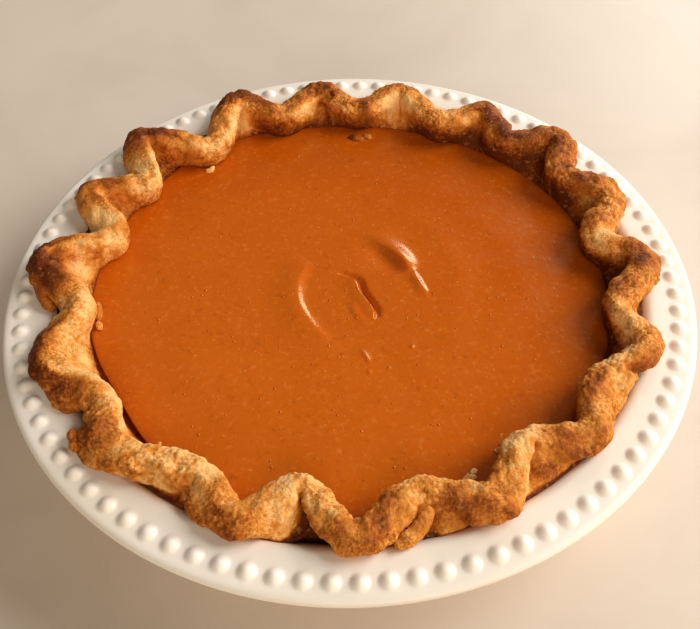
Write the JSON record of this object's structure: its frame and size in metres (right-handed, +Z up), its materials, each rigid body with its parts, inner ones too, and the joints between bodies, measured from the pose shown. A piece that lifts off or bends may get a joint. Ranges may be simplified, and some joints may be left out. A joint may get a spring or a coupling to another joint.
{
  "type": "sweet potato pie in a dish",
  "caption": "Round sweet potato pie with a hand-fluted pastry crust and a smooth swirled filling, in a white ceramic pie dish with a beaded rim.",
  "frame": {"origin": "centre of the dish's flat base, on the table", "axes": "+Z up through the middle of the pie, -Y towards the viewer, +X to the viewer's right"},
  "size_m": [0.2798, 0.28, 0.0604],
  "materials": {
    "glaze": "glossy cream-white glaze",
    "pastry": "baked golden-brown pastry, matte and craggy",
    "custard": "smooth satin orange-brown sweet potato custard"
  },
  "bodies": {
    "root": {"dish": "glaze", "crust": "pastry", "filling": "custard"}
  },
  "joints": []
}
